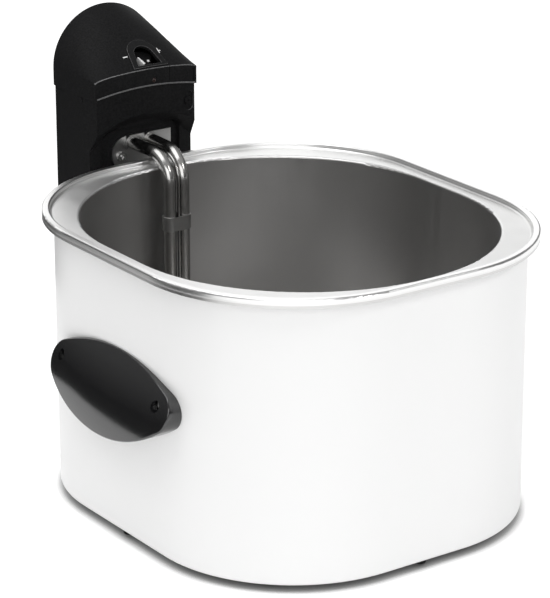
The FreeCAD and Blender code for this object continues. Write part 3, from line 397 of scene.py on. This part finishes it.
# Moulded finishes, each with its colour, least and most roughness, strength of grain, and sheen.
MOULDED = {
    "case_plastic": ("case", 0.32, 0.42, 0.3, 0.04),
    "grip_plastic": ("grip", 0.13, 0.17, 0.25, 1.0),
    # Painted highlight: rounded edges of the head, coloured lighter than the case, with more sheen.
    "burnished_edge": ("edge", 0.2, 0.265, 0.1, 0.5),
    "bezel_plastic": ("bezel", 0.38, 0.48, 0.2, 0.15),
    "dial_plastic": ("case", 0.4, 0.5, 0.3, 0.04),
    "mark_plastic": ("mark", 0.35, 0.5, 0.1, 0.04),
    "button_plastic": ("button", 0.285, 0.36, 0.1, 0.5),
    "inner_plastic": ("inner", 0.45, 0.6, 0.3, 0.04),
    # Painted shade: near black screws for the shade under the base.
    "blackened_screw": ("blackened", 0.4, 0.5, 0.3, 0.04),
    "foot_rubber": ("rubber", 0.65, 0.8, 0.6, 0.04),
}


def moulded(name):
    """Moulded surface: fine spark grain, faint mottling and a gloss that varies over it."""
    tone, low, high, grain, sheen = MOULDED[name]
    base = getattr(colours(), tone)
    finish = Finish(name, base)
    finish.tint(finish.noise(900, 3), (0.3, shade(base, 0.75)), (0.7, shade(base, 1.4)))
    finish.gloss(finish.noise(45, 6), low, high)
    finish.bump((finish.noise(1100, 2), 0.04 * MM, grain), (finish.noise(40, 2), 0.2 * MM, 0.02))
    finish.set("Specular IOR Level", sheen)
    return finish.material


FINISHES = {
    "white_enamel": enamel, "zinc_sheet": plated_sheet, "screw_steel": screw_steel,
    "pot_steel": pot_steel, "element_steel": tube_steel, "lamp_lens": lamp_lens,
}
finished = {}


def finish_of(slot):
    """The finish of a slot, made once."""
    if slot not in finished:
        finished[slot] = moulded(slot) if slot in MOULDED else FINISHES[slot]()
    return finished[slot]


# Mesh helpers


def add_piece(name, bm, node, slot=None):
    """Turn a bmesh into a piece that rides where a CAD node rides and takes its slot."""
    mesh = bpy.data.meshes.new(name)
    bm.to_mesh(mesh)
    bm.free()
    mesh.polygons.foreach_set("use_smooth", [True] * len(mesh.polygons))
    mesh.set_sharp_from_angle(angle=math.radians(SMOOTH_ANGLE))
    piece = bpy.data.objects.new(name, mesh)
    bpy.context.scene.collection.objects.link(piece)
    mesh.materials.append(finish_of(slot or SLOTS[node]))
    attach(piece, NODES[node]["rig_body"])
    slot or SLOTS[node]
    even = piece.modifiers.new("even_shading", "WEIGHTED_NORMAL")
    even.keep_sharp = True
    return piece


def welded(node):
    """A merged copy of a CAD node with its flat faces made whole."""
    bm = bmesh.new()
    bm.from_mesh(NODES[node].data)
    bmesh.ops.remove_doubles(bm, verts=bm.verts, dist=WELD)
    bmesh.ops.dissolve_limit(bm, angle_limit=math.radians(FLAT_ANGLE), verts=bm.verts,
                             edges=bm.edges)
    return bm


def soften(bm, offset):
    """Round every sharp edge and give back the new faces."""
    sharp = [edge for edge in bm.edges
             if edge.is_manifold and edge.calc_face_angle() > math.radians(SHARP_ANGLE)]
    rounded = bmesh.ops.bevel(bm, geom=sharp, offset=offset, offset_type="OFFSET", affect="EDGES",
                              segments=EDGE_SEGMENTS, profile=0.5, material=-1, clamp_overlap=True)
    return rounded["faces"]


def coat(node):
    """Give a CAD node that keeps its shape its finish."""
    for place in NODES[node].material_slots:
        place.material = finish_of(SLOTS[node])


def dress(node, offset, edge=None):
    """Stand a softened copy in for a CAD node, with a finish of its own for its rounded edges,
    which is the painted highlight wherever one is given.
    """
    bm = welded(node)
    for face in soften(bm, offset):
        face.material_index = 1 if edge else 0
    piece = add_piece(f"{node}_finish", bm, node)
    if edge:
        piece.data.materials.append(finish_of(edge))
    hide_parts(node)
    return piece


def islands(bm):
    """The separate bodies of a mesh in the mesh's own order, as lists of their points."""
    seen = set()
    for start in bm.verts:
        if start in seen:
            continue
        seen.add(start)
        found = [start]
        for vert in found:
            for edge in vert.link_edges:
                other = edge.other_vert(vert)
                if other not in seen:
                    seen.add(other)
                    found.append(other)
        yield [vert.co.copy() for vert in found]


def carve(bm, tool):
    """Take one mesh out of another."""
    pair = []
    for source in (bm, tool):
        item = bpy.data.objects.new("carving", bpy.data.meshes.new("carving"))
        source.to_mesh(item.data)
        source.free()
        bpy.context.scene.collection.objects.link(item)
        pair.append(item)
    cut = pair[0].modifiers.new("cut", "BOOLEAN")
    cut.operation = "DIFFERENCE"
    cut.use_self = True
    cut.object = pair[1]
    bpy.context.view_layer.update()
    shaped = pair[0].evaluated_get(bpy.context.evaluated_depsgraph_get())
    mesh = bpy.data.meshes.new_from_object(shaped)
    result = bmesh.new()
    result.from_mesh(mesh)
    bpy.data.meshes.remove(mesh)
    for item in pair:
        mesh = item.data
        bpy.data.objects.remove(item)
        bpy.data.meshes.remove(mesh)
    return result


def crosses(bm, outward):
    """Tapered cross recesses for the head of every screw in a mesh, each turned its own way."""
    tool = bmesh.new()
    outward = Vector(outward)
    stand = outward.to_track_quat("Z", "Y").to_matrix().to_4x4()
    deep = 2 * sizes().cross_depth
    for count, points in enumerate(islands(bm)):
        low = Vector([min(point[axis] for point in points) for axis in range(3)])
        high = Vector([max(point[axis] for point in points) for axis in range(3)])
        top = (low + high) / 2
        top += outward * (max(point.dot(outward) for point in points) - top.dot(outward))
        head = sorted(high - low)[1]
        arm = Vector((head * sizes().cross_length, head * sizes().cross_width, deep))
        for turn in (0, 90):
            spin = Matrix.Rotation(math.radians(turn + CROSS_TURN * count), 4, "Z")
            bar = bmesh.ops.create_cube(tool, size=1)["verts"]
            for vert in bar:
                taper = CROSS_TAPER if vert.co.z < 0 else 1.0
                vert.co = vert.co * arm * Vector((taper, taper, 1))
            bmesh.ops.transform(tool, verts=bar, matrix=Matrix.Translation(top) @ stand @ spin)
    bmesh.ops.recalc_face_normals(tool, faces=tool.faces)
    return tool


def screws(node, outward):
    """Stand screws with cross recesses in for a CAD node's plain ones."""
    bm = welded(node)
    tool = crosses(bm, outward)
    soften(bm, sizes().crisp)
    piece = add_piece(f"{node}_finish", carve(bm, tool), node)
    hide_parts(node)
    return piece


def printed(name, node, strokes):
    """A flat print that follows the surface of a CAD node, seen from above.

    Each stroke is its middle before the shift to the pot, and half its size along x and y."""
    base = welded(node)
    surface = BVHTree.FromBMesh(base)
    base.free()
    bm = bmesh.new()
    lift, down = Vector((0, 0, sizes().print_lift)), Vector((0, 0, -1))
    for (x, y), half_x, half_y in strokes:
        grid = bmesh.ops.create_grid(bm, x_segments=PRINT_PARTS, y_segments=PRINT_PARTS, size=1)
        for vert in grid["verts"]:
            above = Vector((x + vert.co.x * half_x, POT_Y + y + vert.co.y * half_y, 1))
            vert.co = surface.ray_cast(above, down)[0] + lift
    bmesh.ops.solidify(bm, geom=bm.faces, thickness=2 * sizes().print_lift)
    bmesh.ops.recalc_face_normals(bm, faces=bm.faces)
    return add_piece(name, bm, node, "mark_plastic")


# Operators


class FryerOperator:
    bl_options = {"REGISTER", "UNDO"}


class FRYER_OT_housing(FryerOperator, bpy.types.Operator):
    """Enamelled housing, its base and feet"""
    bl_idname = "fryer.housing"
    bl_label = "Housing"

    def execute(self, context):
        coat("outer_housing")
        dress("base_pan", sizes().crisp)
        coat("rubber_feet")
        dress("head_bracket", sizes().crisp)
        return {"FINISHED"}


class FRYER_OT_grips(FryerOperator, bpy.types.Operator):
    """Oval side grips"""
    bl_idname = "fryer.grips"
    bl_label = "Side grips"

    def execute(self, context):
        for node in ("left_handle", "right_handle"):
            coat(node)
        return {"FINISHED"}


class FRYER_OT_pot(FryerOperator, bpy.types.Operator):
    """Drawn steel pot with its polished rim"""
    bl_idname = "fryer.pot"
    bl_label = "Oil pot"

    def execute(self, context):
        coat("oil_pot")
        return {"FINISHED"}


class FRYER_OT_head(FryerOperator, bpy.types.Operator):
    """Moulded shells of the control head"""
    bl_idname = "fryer.head"
    bl_label = "Control head"

    def execute(self, context):
        self.case()
        self.cap()
        # The bezel's rounded edges take the painted highlight.
        dress("dial_bezel", sizes().crisp, "burnished_edge")
        dress("rear_cover", sizes().edge)
        coat("cord_gland")
        coat("pilot_lamp")
        self.bead()
        self.marks()
        return {"FINISHED"}

    def case(self):
        """Case with a painted highlight on the ring round the recess of its screw."""
        case = dress("lower_case", sizes().edge)
        case.data.materials.append(finish_of("burnished_edge"))
        low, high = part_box("case_screw")
        middle = (low + high) / 2
        for face in case.data.polygons:
            near = (face.center - middle).length < RING_REACH and face.center.y < middle.y
            if near and abs(face.normal.y) <= FLAT_FACING:
                face.material_index = 1

    def cap(self):
        """Cap with painted highlights on its edges and along the top of its fascia."""
        cap = dress("top_cap", sizes().lip, "burnished_edge")
        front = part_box("top_cap")[0].y + FASCIA_DEPTH
        least, most = FASCIA_TILT
        for face in cap.data.polygons:
            tilted = face.normal.y < 0 and least < face.normal.z < most
            if face.center.y < front and tilted:
                face.material_index = 1

    def bead(self):
        """Thin bead along the arched foot of the cap's fascia."""
        low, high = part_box("top_cap")
        middle = Vector((0, low.y, FOOT_TOP - FOOT_BOW))
        sweep = 2 * math.asin(FOOT_SHARE * high.x / FOOT_BOW)
        bm = bmesh.new()
        ring = bmesh.ops.create_circle(bm, segments=BEAD_SIDES, radius=sizes().bead, cap_ends=True)
        place = (Matrix.Translation(middle) @ Matrix.Rotation(sweep / 2, 4, "Y")
                 @ Matrix.Translation((0, 0, FOOT_BOW)) @ Matrix.Rotation(math.pi / 2, 4, "Y"))
        bmesh.ops.transform(bm, verts=ring["verts"], matrix=place)
        bmesh.ops.spin(bm, geom=bm.faces, cent=middle, axis=(0, 1, 0), angle=-sweep,
                       steps=BEAD_STEPS)
        bmesh.ops.recalc_face_normals(bm, faces=bm.faces)
        piece = add_piece("cap_bead", bm, "top_cap", "case_plastic")
        # The bead is coloured with the painted highlight.
        piece.data.materials[0] = finish_of("burnished_edge")

    def marks(self):
        """Minus and plus on the hood, on either side of the dial window."""
        thick, long = sizes().mark_width / 2, sizes().mark_length / 2
        printed("minus_mark", "top_cap", [(MINUS_PLACE, long, thick)])
        printed("plus_mark", "top_cap", [(PLUS_PLACE, long, thick), (PLUS_PLACE, thick, long)])


class FRYER_OT_dial(FryerOperator, bpy.types.Operator):
    """Dial with its pointer, and the reset button"""
    bl_idname = "fryer.dial"
    bl_label = "Dial and button"

    def execute(self, context):
        for node in ("temperature_dial", "dial_pointer"):
            dress(node, sizes().crisp)
        coat("reset_button")
        return {"FINISHED"}


class FRYER_OT_element(FryerOperator, bpy.types.Operator):
    """Heating element, its plate and its sensor"""
    bl_idname = "fryer.element"
    bl_label = "Heating element"

    def execute(self, context):
        for node in ("heating_element", "capillary_tube", "sensor_bulb", "element_terminals",
                     "flange_collars"):
            coat(node)
        for node in ("element_flange", "leg_clamp", "bulb_clips", "loop_support"):
            dress(node, sizes().crisp)
        return {"FINISHED"}


class FRYER_OT_fasteners(FryerOperator, bpy.types.Operator):
    """Screws, nuts, rivets and clips"""
    bl_idname = "fryer.fasteners"
    bl_label = "Fasteners"

    def execute(self, context):
        for node in ("bracket_rivets", "handle_nuts", "cap_clips"):
            dress(node, sizes().crisp)
        under = screws("base_screws", (0, 0, -1))
        # Painted shade: the screws under the base take the near black finish.
        under.data.materials[0] = finish_of("blackened_screw")
        screws("cover_screws", (0, 1, 0))
        screws("case_screw", (0, -1, 0))
        screws("flange_screws", (0, -1, 0))
        self.grip_screws()
        return {"FINISHED"}

    def grip_screws(self):
        """Both sides share one node, so each half is cut from its own side."""
        bm = welded("handle_screws")
        tool = bmesh.new()
        for side in (-1, 1):
            half = bm.copy()
            away = [vert for vert in half.verts if vert.co.x * side < 0]
            bmesh.ops.delete(half, geom=away, context="VERTS")
            recess = crosses(half, (side, 0, 0))
            spare = bpy.data.meshes.new("spare")
            recess.to_mesh(spare)
            tool.from_mesh(spare)
            bpy.data.meshes.remove(spare)
            recess.free()
            half.free()
        soften(bm, sizes().crisp)
        piece = add_piece("handle_screws_finish", carve(bm, tool), "handle_screws")
        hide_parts("handle_screws")


class FRYER_OT_works(FryerOperator, bpy.types.Operator):
    """Works inside the head"""
    bl_idname = "fryer.works"
    bl_label = "Inner works"

    def execute(self, context):
        for node in ("thermostat", "thermostat_bracket", "thermal_cutout", "safety_switch",
                     "terminal_block"):
            dress(node, sizes().crisp)
        return {"FINISHED"}


class FRYER_OT_stage(FryerOperator, bpy.types.Operator):
    """Pale floor, soft studio light and the camera"""
    bl_idname = "fryer.stage"
    bl_label = "Stage"

    def execute(self, context):
        context.scene.view_settings.view_transform = "Standard"
        self.floor()
        self.flag()
        self.room(context.scene)
        for name in SOFTBOXES:
            self.softbox(name)
        self.camera(context.scene)
        return {"FINISHED"}

    def set_up(self, name, bm, material):
        mesh = bpy.data.meshes.new(name)
        bm.to_mesh(mesh)
        bm.free()
        mesh.materials.append(material)
        item = bpy.data.objects.new(name, mesh)
        bpy.context.scene.collection.objects.link(item)
        return item

    def floor(self):
        """White paper that glows a little, with shade painted into its colour and glow where
        something stands close to it.
        """
        bm = bmesh.new()
        bmesh.ops.create_grid(bm, x_segments=4, y_segments=4, size=FLOOR_REACH)
        finish = Finish("floor_paper", colours().floor, roughness=0.6)
        contact_shade_mask = finish.add("ShaderNodeAmbientOcclusion", samples=CONTACT_RAYS)
        contact_shade_mask.inputs["Distance"].default_value = sizes().contact
        # Painted shade: the floor's colour and glow darken along the ramp where something stands
        # close.
        for socket, base in (("Base Color", colours().floor), ("Emission Color", (1, 1, 1))):
            stops = [(openness, shade(base, level)) for openness, level in CONTACT_SHADE]
            finish.feed(finish.ramp(contact_shade_mask.outputs["AO"], *stops), socket)
        finish.set("Emission Strength", sizes().glow)
        finish.material.cycles.emission_sampling = "NONE"
        floor = self.set_up("floor", bm, finish.material)

    def flag(self):
        """Dark cloth beside the set that only gloss picks up, as the black parts mirror it."""
        bm = bmesh.new()
        for x0, x1, y0, y1 in FLAG:
            sheet = bmesh.ops.create_grid(bm, x_segments=1, y_segments=1, size=0.5)["verts"]
            bmesh.ops.scale(bm, verts=sheet, vec=(x1 - x0, y1 - y0, 1))
            bmesh.ops.translate(bm, verts=sheet, vec=((x0 + x1) / 2, (y0 + y1) / 2, FLAG_LIFT))
        flag = self.set_up("flag", bm, Finish("flag_cloth", colours().flag, roughness=0.9).material)
        flag.visible_camera = False
        flag.visible_diffuse = False
        flag.visible_shadow = False
        flag.visible_transmission = False

    def room(self, scene):
        """Dim at the horizon and brighter overhead, for the steel to reflect."""
        world = bpy.data.worlds.new("room")
        world.use_nodes = True
        tree = world.node_tree
        direction = tree.nodes.new("ShaderNodeTexCoord").outputs["Generated"]
        split = tree.nodes.new("ShaderNodeSeparateXYZ")
        band = tree.nodes.new("ShaderNodeValToRGB")
        back = next(node for node in tree.nodes if node.type == "BACKGROUND")
        tree.links.new(direction, split.inputs["Vector"])
        tree.links.new(split.outputs["Z"], band.inputs["Fac"])
        tree.links.new(band.outputs["Color"], back.inputs["Color"])
        fill_ramp(band.color_ramp, [(height, (level, level, level)) for height, level in ROOM])
        back.inputs["Strength"].default_value = sizes().room
        world.cycles.sampling_method = "NONE"
        scene.world = world

    def softbox(self, name):
        place, aim, width, height = SOFTBOXES[name]
        light = bpy.data.lights.new(name, "AREA")
        light.shape = "RECTANGLE"
        light.size = width
        light.size_y = height
        light.energy = getattr(sizes(), name)
        lamp = bpy.data.objects.new(name, light)
        bpy.context.scene.collection.objects.link(lamp)
        lamp.location = place
        lamp.rotation_euler = (Vector(aim) - Vector(place)).to_track_quat("-Z", "Y").to_euler()

    def camera(self, scene):
        data = bpy.data.cameras.new("camera")
        data.lens = sizes().lens
        data.sensor_width = SENSOR
        camera = bpy.data.objects.new("camera", data)
        scene.collection.objects.link(camera)
        across = math.cos(CAMERA_ELEVATION)
        back = Vector((math.sin(CAMERA_AZIMUTH) * across, -math.cos(CAMERA_AZIMUTH) * across,
                       math.sin(CAMERA_ELEVATION)))
        camera.location = CAMERA_PLACE + Vector((0, POT_Y, 0))
        camera.rotation_euler = (-back).to_track_quat("-Z", "Y").to_euler()
        scene.camera = camera


class FRYER_PT_panel(bpy.types.Panel):
    """Everything that makes the fryer, in order"""
    bl_idname = "FRYER_PT_panel"
    bl_label = "Deep fryer"
    bl_space_type = "VIEW_3D"
    bl_region_type = "UI"
    bl_category = "Fryer"

    def draw(self, context):
        for operator in OPERATORS:
            self.layout.operator(operator.bl_idname)
        for group in (context.scene.fryer_sizes, context.scene.fryer_colours):
            for name in group.__annotations__:
                self.layout.prop(group, name)


OPERATORS = (FRYER_OT_housing, FRYER_OT_grips, FRYER_OT_pot, FRYER_OT_head, FRYER_OT_dial,
             FRYER_OT_element, FRYER_OT_fasteners, FRYER_OT_works, FRYER_OT_stage)
CLASSES = (FryerColours, FryerSizes, *OPERATORS, FRYER_PT_panel)


def register():
    for item in CLASSES:
        bpy.utils.register_class(item)
    bpy.types.Scene.fryer_colours = PointerProperty(type=FryerColours)
    bpy.types.Scene.fryer_sizes = PointerProperty(type=FryerSizes)


def unregister():
    del bpy.types.Scene.fryer_sizes
    del bpy.types.Scene.fryer_colours
    for item in reversed(CLASSES):
        bpy.utils.unregister_class(item)


def main():
    register()
    for operator in OPERATORS:
        group, name = operator.bl_idname.split(".")
        getattr(getattr(bpy.ops, group), name)()


if __name__ == "__main__":
    main()
